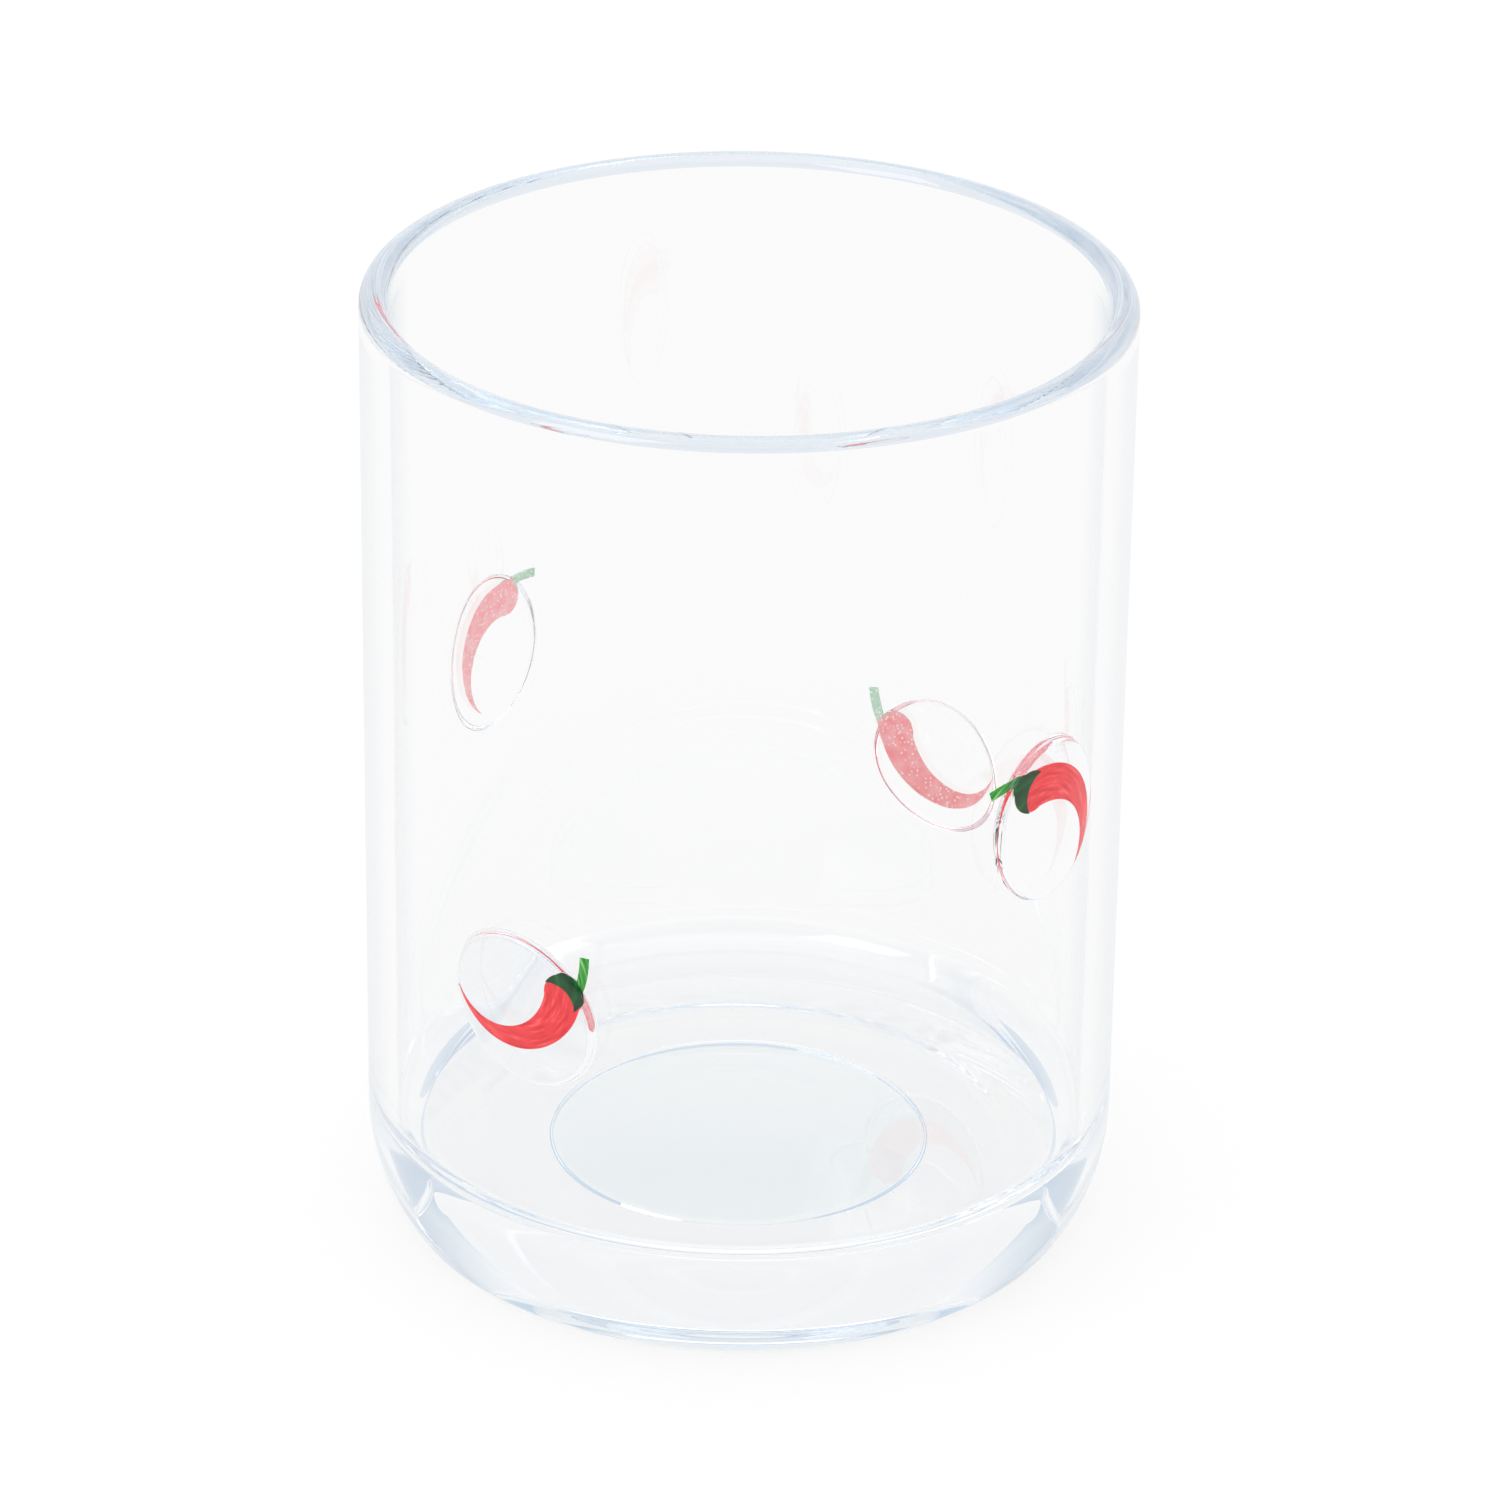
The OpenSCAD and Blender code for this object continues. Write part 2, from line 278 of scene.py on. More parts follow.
def place_gem(name, place):
    """Copies the gem, squeezes and turns it, settles it on the wall and puts it in place."""
    gem = gem_blank.copy()
    gem.data = gem_blank.data.copy()
    gem.name = gem.data.name = name
    bpy.context.collection.objects.link(gem)
    squeeze = Matrix.Rotation(math.radians(place["oval"]), 4, "Z") @ Matrix.Diagonal((1, gem_squash, 1, 1))
    gem.data.transform(squeeze)
    for vertex in gem.data.vertices:
        vertex.co = settled(vertex.co)
    gem.data.update()
    for face in gem.data.polygons:
        face.material_index = 1 if face.normal.z < seat_down else 0
    turn = math.radians(place["direction"])
    gem.location = (body_r * math.sin(turn), -body_r * math.cos(turn), place["height"])
    gem.rotation_euler = (quarter_turn, 0, turn)
    deselect_all()
    gem.select_set(True)
    bpy.context.view_layer.objects.active = gem
    bpy.ops.object.transform_apply(location=True, rotation=True, scale=True)
    bpy.ops.object.shade_smooth_by_angle(angle=smooth_below)
    seat_faces = sum(face.material_index for face in gem.data.polygons)
    print(f"{name}: {seat_faces} of {len(gem.data.polygons)} faces are the seat")
    return gem


gems = {name: place_gem("fused_gem_" + name, place) for name, place in places.items()}
bpy.data.objects.remove(gem_blank)

# %% [markdown]
# ## The fused joint
# Wall and gem are one piece of glass where they touch, so light must cross that face as if it were not
# there. A renderer only knows surfaces: it would bend the light out of one glass and in to the other. So
# both touching faces get a slot of their own. The seat of each gem is wholly clear, and the faces of the
# wall round it are clear inside the oval of the gem and glass outside it.

# %% Mark the faces of the wall behind the gems
def to_gem(point, place):
    """A point as seen from a gem: to the right, up and outwards from the middle of its foot."""
    turn = math.radians(place["direction"])
    right = point.x * math.cos(turn) + point.y * math.sin(turn)
    out = point.x * math.sin(turn) - point.y * math.cos(turn)
    return Vector((right, point.z - place["height"], out - body_r))


# Wide enough to take in the longest gem with its wetted edge.
patch_reach = 13 * MM
slot_numbers = {name: i + 1 for i, name in enumerate(places)}
for face in glass.data.polygons:
    # Only the outer side of the wall touches a gem.
    if math.hypot(face.center.x, face.center.y) < body_r - wall_t / 2:
        continue
    for name, place in places.items():
        seen = to_gem(face.center, place)
        if seen.xy.length < patch_reach and seen.z > -wall_t:
            face.material_index = slot_numbers[name]
marked = sum(face.material_index > 0 for face in glass.data.polygons)
print(f"{marked} faces of the wall lie behind a gem")

# %% [markdown]
# ## Colours and nodes
# Colours are written as the hex values that an artist reads off a screen. A shader works in linear light,
# so one function turns them over. One more function adds a node with its settings and its links, and a
# colour ramp then gets its stops.

# %% Helpers for materials
def linear(code, alpha=1.0):
    """A colour written as sRGB hex, as the linear values that a shader needs."""
    parts = [int(code[i:i + 2], 16) / 255 for i in (0, 2, 4)]
    return tuple(p / 12.92 if p <= 0.04045 else ((p + 0.055) / 1.055) ** 2.4 for p in parts) + (alpha,)


def add_node(tree, kind, settings=(), links=()):
    """Adds a node. Settings and links name a property or a socket by its name or number."""
    node = tree.nodes.new(kind)
    for key, value in dict(settings).items():
        if isinstance(key, int) or key in node.inputs:
            node.inputs[key].default_value = value
        else:
            setattr(node, key, value)
    for key, socket in dict(links).items():
        tree.links.new(socket, node.inputs[key])
    return node


def set_stops(node, stops):
    """Gives a colour ramp its stops of (position, hex), and returns its colour."""
    elements = node.color_ramp.elements
    elements.remove(elements[1])
    for i, (position, code) in enumerate(stops):
        element = elements[0] if i == 0 else elements.new(position)
        element.position = position
        element.color = linear(code)
    return node.outputs["Color"]


def new_material(name):
    """An empty material with its output node."""
    material = bpy.data.materials.new(name)
    material.use_nodes = True
    material.node_tree.nodes.clear()
    return material, add_node(material.node_tree, "ShaderNodeOutputMaterial")


# %% [markdown]
# ## Clear soda-lime glass
# Drinking glasses are soda-lime glass with an index of about 1.52. Pressed and fire polished, it has no
# roughness that the eye can see, but its surface still rolls a little, about a hundredth of a millimetre
# over a centimetre. That slow roll is what makes reflections in real glass swim. Two soft noises give it,
# one 14 mm and one 4 mm wide on the wall, and finer ones on the small gems.
#
# Such glass is faintly blue-grey, which shows only where light stays in it for long: along the wall at both
# sides, round the top of the lip, and in the thick base. An absorbing volume could give this. Here the
# surface carries the tint, because then each of these places can be matched on its own.

# %% Clear glass
GLASS_INDEX = 1.52
CLEAR = "FFFFFF"
# From facing the eye to edge on: light that grazes the wall has run far along it.
GRAZING_TINT = ((0.0, CLEAR), (0.70, CLEAR), (0.97, "C9D5E0"))
LIP_TINT = "D9E4F0"
# From the base, under the heel, to the wall above it.
BASE_TINT = ((0.0, "F8FAFC"), (1.0, CLEAR))
# Painted shade: the roof of the recess is tinted cool grey for the shaded table seen through it.
RECESS_PAINTED_SHADE = "F2FAFC"
# Only the top of the lip is tinted, from this share of its radius below the brim.
lip_top_share = 0.7
heel_fade = 2 * MM


def glass_shader(tree, waves):
    """Clear glass with a slow roll in its surface: waves are pairs of a width and a height in metres."""
    place = add_node(tree, "ShaderNodeTexCoord")
    normal = None
    for width, height in waves:
        noise = add_node(tree, "ShaderNodeTexNoise", {"Scale": 1 / width, "Detail": 1.0},
                         {"Vector": place.outputs["Object"]})
        bump = add_node(tree, "ShaderNodeBump", {"Distance": height, "Strength": 1.0},
                        {"Height": noise.outputs["Fac"]})
        if normal:
            tree.links.new(normal, bump.inputs["Normal"])
        normal = bump.outputs["Normal"]
    facing = add_node(tree, "ShaderNodeLayerWeight", {"Blend": 0.5})
    grazing = set_stops(add_node(tree, "ShaderNodeValToRGB", (), {"Fac": facing.outputs["Facing"]}),
                        GRAZING_TINT)
    parts = add_node(tree, "ShaderNodeSeparateXYZ", (), {0: place.outputs["Object"]})
    below_lip = add_node(tree, "ShaderNodeMath", {"operation": "LESS_THAN", 1: body_h - 2 * lip_r},
                         {0: parts.outputs["Z"]})
    lip_top = add_node(tree, "ShaderNodeMath", {
        "operation": "GREATER_THAN", 1: body_h - lip_top_share * lip_r}, {0: parts.outputs["Z"]})
    lip_tint = add_node(tree, "ShaderNodeMixRGB", {"Color1": linear(CLEAR), "Color2": linear(LIP_TINT)},
                        {"Fac": lip_top.outputs[0]})
    wall_tint = add_node(tree, "ShaderNodeMixRGB", (), {
        "Fac": below_lip.outputs[0], "Color1": lip_tint.outputs["Color"], "Color2": grazing})
    level = add_node(tree, "ShaderNodeVectorMath", {"operation": "MULTIPLY", 1: (1, 1, 0)},
                     {0: place.outputs["Object"]})
    reach = add_node(tree, "ShaderNodeVectorMath", {"operation": "LENGTH"}, {0: level.outputs["Vector"]})
    outside = add_node(tree, "ShaderNodeMath", {"operation": "LESS_THAN", 1: foot_x},
                       {0: reach.outputs["Value"]})
    rise = add_node(tree, "ShaderNodeMapRange", {"From Min": heel_h - heel_fade, "From Max": heel_h},
                    {"Value": parts.outputs["Z"]})
    above_base = add_node(tree, "ShaderNodeMath", {"operation": "MAXIMUM"},
                          {0: outside.outputs[0], 1: rise.outputs[0]})
    base_tint = set_stops(add_node(tree, "ShaderNodeValToRGB", (), {"Fac": above_base.outputs[0]}),
                          BASE_TINT)
    # Painted shade: inside the recess, a cool grey stands in for the shaded table under the glass.
    in_recess = add_node(tree, "ShaderNodeMath", {"operation": "LESS_THAN", 1: recess_r - recess_soft},
                         {0: reach.outputs["Value"]})
    underneath = add_node(tree, "ShaderNodeMath", {"operation": "LESS_THAN", 1: 2 * recess_h},
                          {0: parts.outputs["Z"]})
    recess = add_node(tree, "ShaderNodeMath", {"operation": "MULTIPLY"},
                      {0: in_recess.outputs[0], 1: underneath.outputs[0]})
    base_tint_and_recess_shade = add_node(tree, "ShaderNodeMixRGB", {"Color2": linear(RECESS_PAINTED_SHADE)},
                              {"Fac": recess.outputs[0], "Color1": base_tint})
    tint = add_node(tree, "ShaderNodeMixRGB", {"blend_type": "MULTIPLY", "Fac": 1.0}, {
        "Color1": wall_tint.outputs["Color"], "Color2": base_tint_and_recess_shade.outputs["Color"]})
    return add_node(tree, "ShaderNodeBsdfPrincipled", {
        "Transmission Weight": 1.0, "Roughness": 0.0, "IOR": GLASS_INDEX,
    }, {"Normal": normal, "Base Color": tint.outputs["Color"]})


# Width and height of each roll.
WALL_WAVES = ((14 * MM, 0.012 * MM), (4 * MM, 0.002 * MM))
GEM_WAVES = ((6 * MM, 0.01 * MM), (2 * MM, 0.002 * MM))

clear_glass, end = new_material("pressed_soda_lime_glass")
body = glass_shader(clear_glass.node_tree, WALL_WAVES)
clear_glass.node_tree.links.new(body.outputs[0], end.inputs["Surface"])

gem_glass, end = new_material("pressed_gem_glass")
body = glass_shader(gem_glass.node_tree, GEM_WAVES)
gem_glass.node_tree.links.new(body.outputs[0], end.inputs["Surface"])
print("glass index", GLASS_INDEX)

# %% The seat of a gem
fused_seat, end = new_material("fused_glass_seat")
seat_clear = add_node(fused_seat.node_tree, "ShaderNodeBsdfTransparent")
fused_seat.node_tree.links.new(seat_clear.outputs[0], end.inputs["Surface"])
print("seat:", fused_seat.name)


# %% The wall behind a gem
def fused_wall(name, place):
    """Glass outside the oval of a gem and clear inside it. A Mapping node turns the oval to a circle."""
    material, end = new_material("fused_wall_" + name)
    tree = material.node_tree
    turn = math.radians(place["direction"])
    # The oval takes in the wetted edge.
    spread = 1 + wetting_r / gem_a
    spot = (body_r * math.sin(turn), -body_r * math.cos(turn), place["height"])
    coordinates = add_node(tree, "ShaderNodeTexCoord")
    oval = add_node(tree, "ShaderNodeMapping", {
        "vector_type": "TEXTURE", "Location": spot,
        "Rotation": (quarter_turn, -math.radians(place["oval"]), turn),
        "Scale": (gem_a * spread, gem_a * gem_squash * spread, 1.0),
    }, {"Vector": coordinates.outputs["Object"]})
    flat = add_node(tree, "ShaderNodeVectorMath", {"operation": "MULTIPLY", 1: (1, 1, 0)},
                    {0: oval.outputs["Vector"]})
    reach = add_node(tree, "ShaderNodeVectorMath", {"operation": "LENGTH"}, {0: flat.outputs["Vector"]})
    inside = add_node(tree, "ShaderNodeMath", {"operation": "LESS_THAN", 1: 1.0},
                      {0: reach.outputs["Value"]})
    body = glass_shader(tree, WALL_WAVES)
    open_glass = add_node(tree, "ShaderNodeBsdfTransparent")
    mix = add_node(tree, "ShaderNodeMixShader", (), {
        0: inside.outputs[0], 1: body.outputs[0], 2: open_glass.outputs[0]})
    tree.links.new(mix.outputs[0], end.inputs["Surface"])
    return material


glass.data.materials.append(clear_glass)
for name, place in places.items():
    glass.data.materials.append(fused_wall(name, place))
for gem in gems.values():
    gem.data.materials.append(gem_glass)
    gem.data.materials.append(fused_seat)
print("slots on the glass:", len(glass.data.materials))

# %% [markdown]
# ## The printed peppers
# The peppers are ceramic decals: enamel colours, screen printed on paper, slid on to the wall and fired
# under the gem. The screen leaves fine dots, and the paint was drawn with a brush, so its streaks follow
# the bend of the pepper. The colours lie on a thin pale print, and from inside the glass only that pale
# print shows, with the colours faint behind it.
#
# All the patterns live in the flat of the sketch. A Mapping node undoes the place of each print, so that
# its X and Y are millimetres from the middle of the pepper's bend.

# %% Coordinates of a print
def sketch_coordinates(tree, place):
    """Object coordinates turned to the flat of one print, in its own millimetres."""
    turn = math.radians(place["direction"])
    spin = math.radians(place["turn"])
    right, up = place["print"]
    spot = (body_r * math.sin(turn) + right * math.cos(turn),
            -body_r * math.cos(turn) + right * math.sin(turn), place["height"] + up)
    coordinates = add_node(tree, "ShaderNodeTexCoord")
    mapping = add_node(tree, "ShaderNodeMapping", {
        "vector_type": "TEXTURE", "Location": spot,
        "Rotation": (quarter_turn, -spin, turn),
        "Scale": (place["share"] * MM,) * 3,
    }, {"Vector": coordinates.outputs["Object"]})
    return mapping.outputs["Vector"]


def bend_coordinates(tree, flat):
    """Distance from the middle of the bend and angle round it, from -0.5 to 0.5 of a turn."""
    parts = add_node(tree, "ShaderNodeSeparateXYZ", (), {0: flat})
    level = add_node(tree, "ShaderNodeVectorMath", {"operation": "MULTIPLY", 1: (1, 1, 0)}, {0: flat})
    distance = add_node(tree, "ShaderNodeVectorMath", {"operation": "LENGTH"}, {0: level.outputs["Vector"]})
    angle = add_node(tree, "ShaderNodeMath", {"operation": "ARCTAN2"},
                     {0: parts.outputs["Y"], 1: parts.outputs["X"]})
    turns = add_node(tree, "ShaderNodeMath", {"operation": "DIVIDE", 1: math.tau}, {0: angle.outputs[0]})
    return distance.outputs["Value"], turns.outputs[0]


# %% [markdown]
# ### Light that has met many faces
# A clear wall guides light as a glass fibre does. In a perfect model the red of a print then shows as a
# sharp line in the lip and in the edge of each gem. Real glass rolls more than any model, so each bounce
# mixes that light with the white around it, and only a few faint spots are left. More roll would spoil the
# clear view through the wall. So a ray that has bent or bounced more than five times passes the films as if
# they were not there, and the nearer reflections of a print stay.

# %% Films that far light does not show
# Bends and bounces that a ray may have behind it and still show a film: five, and half for the comparison.
FAR_DEPTH = 5.5


def cover(tree, body):
    """A film, left out for a ray that has already met many faces of the glass."""
    path = add_node(tree, "ShaderNodeLightPath")
    far = add_node(tree, "ShaderNodeMath", {"operation": "GREATER_THAN", 1: FAR_DEPTH},
                   {0: path.outputs["Ray Depth"]})
    gone = add_node(tree, "ShaderNodeBsdfTransparent")
    return add_node(tree, "ShaderNodeMixShader", (), {
        0: far.outputs[0], 1: body.outputs[0], 2: gone.outputs[0]}).outputs[0]


# %% [markdown]
# ### Enamel finish
# Fired enamel is a glassy paint with an index near 1.5. Under the gem there is no air on it, so it has next
# to no shine of its own, and it is set nearly matt. Brush streaks about half a millimetre wide and a few
# millimetres long give each colour its lighter and darker strokes, and a grain a quarter of a millimetre
# wide, as a screen leaves it, keeps the colour from looking flat.

# %% Enamel with brush streaks
# Radius of the middle of the pepper and width of the grain, in millimetres of the print's own flat.
BEND_MIDDLE = 7.65
GRAIN = 0.25
GRAIN_HEIGHT = 0.01 * MM
ENAMEL_INDEX = 1.5
# Enamel that touches glass has hardly any shine of its own.
COVERED_SHINE = 0.1


def enamel(name, place, stops, streak):
    """Printed enamel whose streaks follow the bend: streak is their width and length in millimetres."""
    across, along = 1 / streak[0], math.tau * BEND_MIDDLE / streak[1]
    material, end = new_material(f"fired_{name}_enamel")
    tree = material.node_tree
    flat = sketch_coordinates(tree, place)
    distance, turns = bend_coordinates(tree, flat)
    stretched = add_node(tree, "ShaderNodeCombineXYZ", (), {"X": distance, "Y": turns})
    scaled = add_node(tree, "ShaderNodeVectorMath", {"operation": "MULTIPLY", 1: (across, along, 1)},
                      {0: stretched.outputs[0]})
    brush = add_node(tree, "ShaderNodeTexNoise", {"Scale": 1.0, "Detail": 3.0, "Roughness": 0.6},
                     {"Vector": scaled.outputs["Vector"]})
    colour = set_stops(add_node(tree, "ShaderNodeValToRGB", (), {"Fac": brush.outputs["Fac"]}), stops)
    grain = add_node(tree, "ShaderNodeTexNoise", {"Scale": 1 / GRAIN, "Detail": 1.0}, {"Vector": flat})
    bump = add_node(tree, "ShaderNodeBump", {"Distance": GRAIN_HEIGHT, "Strength": 0.6},
                    {"Height": grain.outputs["Fac"]})
    body = add_node(tree, "ShaderNodeBsdfPrincipled", {
        "Roughness": 0.6, "IOR": ENAMEL_INDEX, "Specular IOR Level": COVERED_SHINE,
    }, {"Base Color": colour, "Normal": bump.outputs["Normal"]})
    tree.links.new(cover(tree, body), end.inputs["Surface"])
    return material


RED_STOPS = ((0.36, "CC232C"), (0.46, "DE3038"), (0.56, "E53A41"), (0.68, "EE6064"))
CALYX_STOPS = ((0.35, "003410"), (0.50, "004418"), (0.62, "025A24"), (0.75, "2A7A3C"))
STEM_STOPS = ((0.34, "1A4E1E"), (0.47, "306C2E"), (0.57, "44823E"), (0.70, "78A868"))

# %% [markdown]
# ### The pale print
# Under the colours lies a thin white enamel, which keeps them bright on clear glass. From inside, it shows
# them through: pink behind the pepper, and dull green behind the calyx and the stem. Small bare dots of the
# screen make it look powdery. Real dots are about 0.3 mm apart and would not show in a picture of the whole
# glass, so here they are twice as far apart.

# %% Pale print
# Where pink gives way to green, in millimetres from the middle of the bend towards the stem.
STEM_SIDE = (6.6, 7.6)
PINK_STOPS = ((0.35, "FF9CA2"), (0.5, "FFACB1"), (0.65, "FFBEC2"))
# One print is thinner than the others, so its red shows through more.
THIN_PRINT = "back_right"
THIN_PINK_STOPS = ((0.35, "FF868A"), (0.5, "FF9699"), (0.65, "FFAAAD"))
DULL_GREEN_STOPS = ((0.35, "9CCAAC"), (0.65, "B6DABF"))
BARE_DOT = "FFF4F4"
TO_STEM = (0.707, 0.707, 0)
CLOUD = 2.0
DOT_SPACING = 0.6
# A dot is bare out to the first share of the spacing and fades to nothing at the second.
DOT_CORE, DOT_EDGE, DOT_BARE = 0.12, 0.36, 0.95


def pale_print(name, place):
    """The pale print behind the colours, speckled by the screen."""
    material, end = new_material(f"fired_white_enamel_{name}")
    tree = material.node_tree
    flat = sketch_coordinates(tree, place)
    across = add_node(tree, "ShaderNodeVectorMath", {"operation": "DOT_PRODUCT", 1: TO_STEM},
                      {0: flat})
    edge = add_node(tree, "ShaderNodeMapRange", {"From Min": STEM_SIDE[0], "From Max": STEM_SIDE[1]},
                    {"Value": across.outputs["Value"]})
    tone = add_node(tree, "ShaderNodeTexNoise", {"Scale": 1 / CLOUD, "Detail": 3.0}, {"Vector": flat})
    pink_stops = THIN_PINK_STOPS if name == THIN_PRINT else PINK_STOPS
    pink, green = [set_stops(add_node(tree, "ShaderNodeValToRGB", (), {"Fac": tone.outputs["Fac"]}), stops)
                   for stops in (pink_stops, DULL_GREEN_STOPS)]
    shown_through = add_node(tree, "ShaderNodeMixRGB", (), {
        "Fac": edge.outputs[0], "Color1": pink, "Color2": green})
    screen = add_node(tree, "ShaderNodeTexVoronoi", {"Scale": 1 / DOT_SPACING}, {"Vector": flat})
    dots = add_node(tree, "ShaderNodeMapRange", {
        "From Min": DOT_CORE, "From Max": DOT_EDGE, "To Min": DOT_BARE, "To Max": 0.0}, {
        "Value": screen.outputs["Distance"]})
    powdery = add_node(tree, "ShaderNodeMixRGB", {"Color2": linear(BARE_DOT)}, {
        "Fac": dots.outputs[0], "Color1": shown_through.outputs["Color"]})
    body = add_node(tree, "ShaderNodeBsdfPrincipled", {
        "Roughness": 0.7, "IOR": ENAMEL_INDEX, "Specular IOR Level": COVERED_SHINE,
    }, {"Base Color": powdery.outputs["Color"]})
    tree.links.new(cover(tree, body), end.inputs["Surface"])
    return material


# %% Give every printed film its finish
# Each colour has its name, its stops and the width and length of its streaks.
colours = {
    "pepper": ("red", RED_STOPS, (0.62, 3.4)),
    "calyx": ("dark_green", CALYX_STOPS, (0.83, 5.3)),
    "stem": ("light_green", STEM_STOPS, (0.42, 4.8)),
}
for name, place in places.items():
    finishes = {"backing": pale_print(name, place)}
    for kind, (colour, stops, streak) in colours.items():
        finishes[kind] = enamel(f"{colour}_{name}", place, stops, streak)
    for kind, finish in finishes.items():
        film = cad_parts[f"{kind}_{name}"]
        film.data.materials.clear()
        film.data.materials.append(finish)
    print(name, "films finished:", ", ".join(finishes))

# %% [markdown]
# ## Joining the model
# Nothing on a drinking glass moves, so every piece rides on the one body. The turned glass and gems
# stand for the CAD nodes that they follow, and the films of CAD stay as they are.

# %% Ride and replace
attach(glass, "root")
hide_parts("tumbler_body")
for name, gem in gems.items():
    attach(gem, "root")
    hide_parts("gem_" + name)

# %% [markdown]
# ## The studio
# Clear glass on white is lit by its surroundings. A matt white acrylic table runs under the glass, white
# also where it is seen through the glass, and it keeps a soft shadow. The room is a light tent, white at
# table height and overhead, with a pale blue-grey band between and wider grey cards at both sides. The
# glass bends band and cards in to its edges, and that is what draws the glass. One large soft lamp from the
# front left gives the shadow its direction.
#
# Light Path keeps two jobs apart. What is seen, straight or in glass, is the table and the tent as they
# look. What lights a print is plain white: a ray that has left a matt surface has a Diffuse Depth of one
# or more. About half of that light is lost in the glass before it reaches a print, so the plain white is a
# little over twice as strong as what is seen, and a print then renders about as its colours are written.

# %% Table
# Each look of the table is its own light, and the grey that takes the light and the shadows of the room.
CAMERA_LOOK = (0.80, "5B5B5B")
GLASS_LOOK = (0.865, "3A3A3A")
WHITE = "FFFFFF"
ACRYLIC_WHITE = "EDEDED"
under_foot = 0.02 * MM
# The table and the lamp are measured in metres.
table_size = 6


def table_look(tree, own_light, grey):
    """A white that glows a little and takes the rest of its light, and its shadows, from the room."""
    glow = add_node(tree, "ShaderNodeEmission", {"Color": linear(WHITE), "Strength": own_light})
    shade = add_node(tree, "ShaderNodeBsdfDiffuse", {"Color": linear(grey)})
    return add_node(tree, "ShaderNodeAddShader", (), {0: glow.outputs[0], 1: shade.outputs[0]}).outputs[0]


def seen_rays(tree):
    """The light path node, and 1 for a ray that shows the room in glass or in a reflection."""
    rays = add_node(tree, "ShaderNodeLightPath")
    in_glass = add_node(tree, "ShaderNodeMath", {"operation": "MAXIMUM"}, {
        0: rays.outputs["Is Glossy Ray"], 1: rays.outputs["Is Transmission Ray"]})
    unlit = add_node(tree, "ShaderNodeMath", {"operation": "LESS_THAN", 1: 0.5},
                     {0: rays.outputs["Diffuse Depth"]})
    return rays, add_node(tree, "ShaderNodeMath", {"operation": "MULTIPLY"}, {
        0: in_glass.outputs[0], 1: unlit.outputs[0]}).outputs[0]


deselect_all()
bpy.ops.mesh.primitive_plane_add(size=table_size, location=(0, 0, -under_foot))
table = bpy.context.object
table.name = "table_top"
matt_acrylic, end = new_material("matt_white_acrylic_table")
tree = matt_acrylic.node_tree
rays, in_glass = seen_rays(tree)
plain = add_node(tree, "ShaderNodeBsdfDiffuse", {"Color": linear(ACRYLIC_WHITE)})
through = add_node(tree, "ShaderNodeMixShader", (), {
    0: in_glass, 1: plain.outputs[0], 2: table_look(tree, *GLASS_LOOK)})
shown = add_node(tree, "ShaderNodeMixShader", (), {
    0: rays.outputs["Is Camera Ray"], 1: through.outputs[0], 2: table_look(tree, *CAMERA_LOOK)})
tree.links.new(shown.outputs[0], end.inputs["Surface"])
table.data.materials.append(matt_acrylic)
print("table:", [round(size, 2) for size in table.dimensions.xy], "metres")

# %% Room
# Angles over the horizon in degrees, and the colour of the tent there.
BAND_STOPS = ((0, WHITE), (20, WHITE), (28, "ECF1F6"), (38, "A4BDD4"), (50, "C2D4E3"), (65, WHITE))
CARD_STOPS = ((8, WHITE), (16, "E2EAF2"), (28, "C4D3E2"), (45, "B8CADB"), (62, "DCE5EE"), (75, WHITE))
# How far to the side a direction points where the cards begin and where they are whole.
side_from, side_to = 0.35, 0.75
ROOM_LIGHT = 2.2
# The tent is brighter overhead, where its lamps are.
overhead_from, overhead_light = 0.6, 1.6

world = bpy.data.worlds.new("light_tent")
bpy.context.scene.world = world
world.use_nodes = True
tree = world.node_tree
tree.nodes.clear()
direction = add_node(tree, "ShaderNodeTexCoord")
parts = add_node(tree, "ShaderNodeSeparateXYZ", (), {0: direction.outputs["Generated"]})
sideways = add_node(tree, "ShaderNodeMath", {"operation": "ABSOLUTE"}, {0: parts.outputs["X"]})
beside = add_node(tree, "ShaderNodeMapRange", {"From Min": side_from, "From Max": side_to},
                  {"Value": sideways.outputs[0]})
band, cards = [
    set_stops(add_node(tree, "ShaderNodeValToRGB", (), {"Fac": parts.outputs["Z"]}),
              [(math.sin(math.radians(angle)), code) for angle, code in stops])
    for stops in (BAND_STOPS, CARD_STOPS)]
tent = add_node(tree, "ShaderNodeMixRGB", (), {"Fac": beside.outputs[0], "Color1": band, "Color2": cards})
rays, in_glass = seen_rays(tree)
seen = add_node(tree, "ShaderNodeMath", {"operation": "MAXIMUM"}, {
    0: rays.outputs["Is Camera Ray"], 1: in_glass})
overhead = add_node(tree, "ShaderNodeMapRange", {
    "From Min": overhead_from, "To Min": 1.0, "To Max": overhead_light}, {"Value": parts.outputs["Z"]})
shown = add_node(tree, "ShaderNodeBackground", (), {
    "Color": tent.outputs["Color"], "Strength": overhead.outputs[0]})
plain = add_node(tree, "ShaderNodeBackground", {"Color": linear(WHITE), "Strength": ROOM_LIGHT})
background = add_node(tree, "ShaderNodeMixShader", (), {
    0: seen.outputs[0], 1: plain.outputs[0], 2: shown.outputs[0]})
add_node(tree, "ShaderNodeOutputWorld", (), {"Surface": background.outputs[0]})
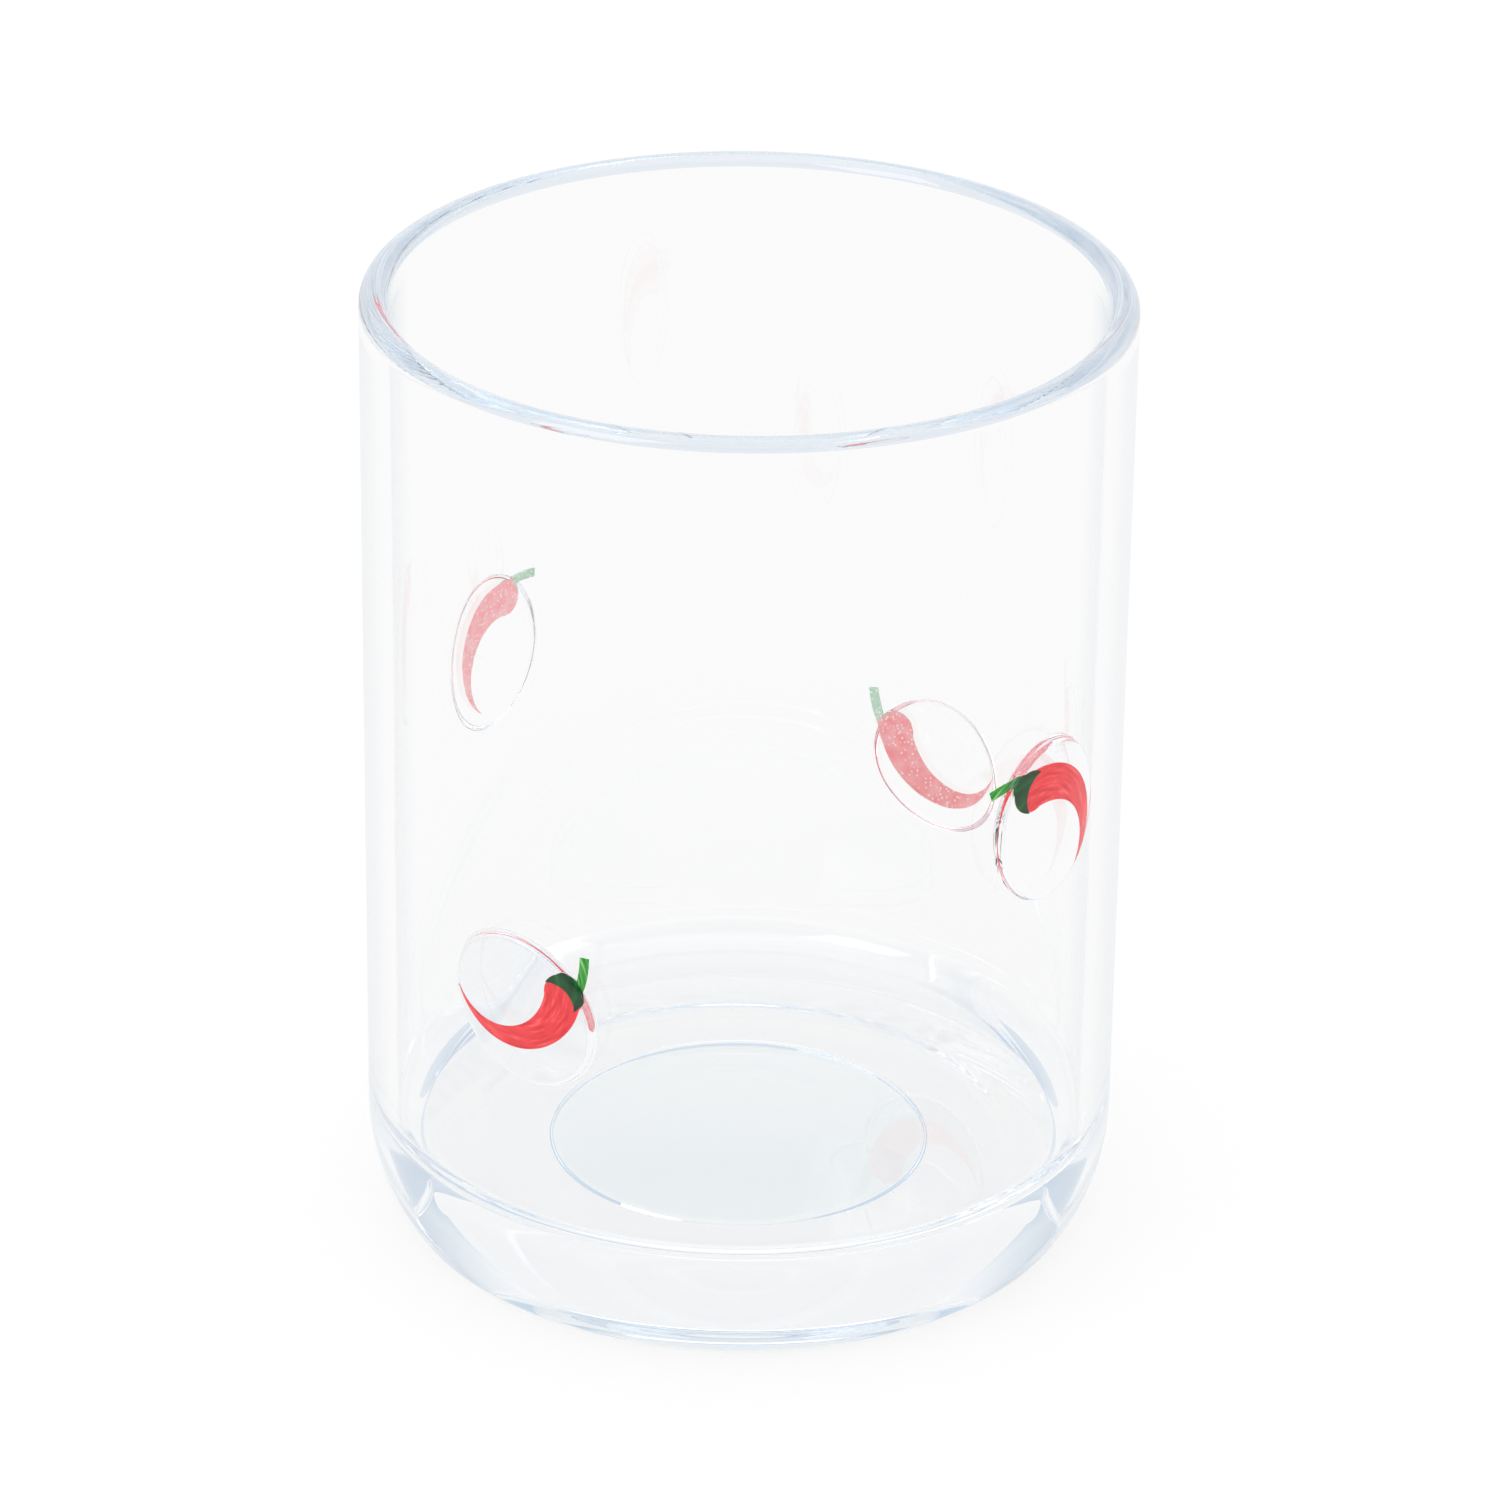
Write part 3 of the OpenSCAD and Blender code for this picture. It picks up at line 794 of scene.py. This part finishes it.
print("plain light in the room:", ROOM_LIGHT)

# %% Lamp
lamp_width = 0.5
lamp_power = 2.0
lamp_place = Vector((-0.55, -0.45, 0.75))

deselect_all()
bpy.ops.object.light_add(type="AREA", location=lamp_place)
lamp = bpy.context.object
lamp.name = "soft_lamp"
lamp.data.size = lamp_width
lamp.data.energy = lamp_power
middle = Vector((0, 0, body_h / 2))
lamp.rotation_euler = (lamp_place - middle).to_track_quat("Z", "Y").to_euler()
print(f"lamp: {lamp_width} metres wide, {lamp_power} watts")

# %% [markdown]
# ## The camera
# The photograph was taken from a little above with a long lens, which keeps the sides of the glass nearly
# parallel. The angle, the roll and the distance were worked out from the ellipses of the rim and the base.

# %% Camera
camera_rise = math.radians(26.0165)
camera_roll = math.radians(0.7839)
camera_distance = 728.6 * MM
camera_lens = 165.6
sensor_width = 36
look_at = Vector((0.684 * MM, 0, 52.17 * MM))

forward = Vector((0, math.cos(camera_rise), -math.sin(camera_rise)))
side = Vector((1, 0, 0))
above = side.cross(forward)
right = side * math.cos(camera_roll) + above * math.sin(camera_roll)
top = above * math.cos(camera_roll) - side * math.sin(camera_roll)
pose = Matrix((right, top, -forward)).transposed().to_4x4()
pose.translation = look_at - forward * camera_distance

deselect_all()
bpy.ops.object.camera_add()
camera = bpy.context.object
camera.matrix_world = pose
camera.data.lens = camera_lens
camera.data.sensor_width = sensor_width
bpy.context.scene.camera = camera
print(f"camera: {1000 * camera_distance:.0f} mm away, {math.degrees(camera_rise):.1f} degrees up")

# %% [markdown]
# ## Light paths
# Most rays cross fewer than a dozen faces of the glass before they reach the table or the room. One that is
# caught in the wall or the base can meet many more, and if it is cut off it comes back black. So the number
# of bounces is far above what most rays need, which costs little time.

# %% Render paths and view
scene = bpy.context.scene
scene.view_settings.view_transform = "Standard"
light_bounces = 128
scene.cycles.max_bounces = light_bounces
scene.cycles.transmission_bounces = light_bounces
scene.cycles.glossy_bounces = light_bounces
scene.cycles.transparent_max_bounces = light_bounces
print("light bounces:", light_bounces)
